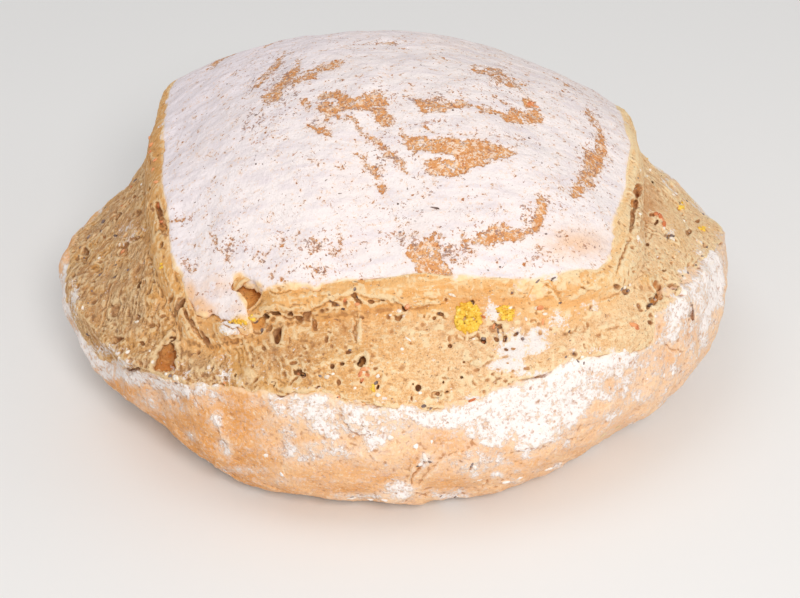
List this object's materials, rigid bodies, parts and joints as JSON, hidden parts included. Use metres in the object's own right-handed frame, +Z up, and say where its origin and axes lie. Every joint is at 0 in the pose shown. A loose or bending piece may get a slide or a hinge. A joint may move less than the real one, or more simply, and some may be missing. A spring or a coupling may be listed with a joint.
{
  "type": "spelt sourdough loaf",
  "caption": "Round uncut hearth loaf of spelt sourdough: a floured squarish lid, a torn seeded crumb band and a bulging lower crust on a flat base.",
  "frame": {"origin": "on the surface the loaf stands on, under the middle of its plan box", "axes": "+Z up through the lid; -Y is the near side, where the lid's hanging corner is at the left; +X to the right"},
  "size_m": [0.251, 0.2462, 0.119],
  "materials": {
    "crust": "matte baked bread crust dusted with white flour, with a torn tan crumb band"
  },
  "bodies": {
    "root": {"loaf": "crust"}
  },
  "joints": []
}
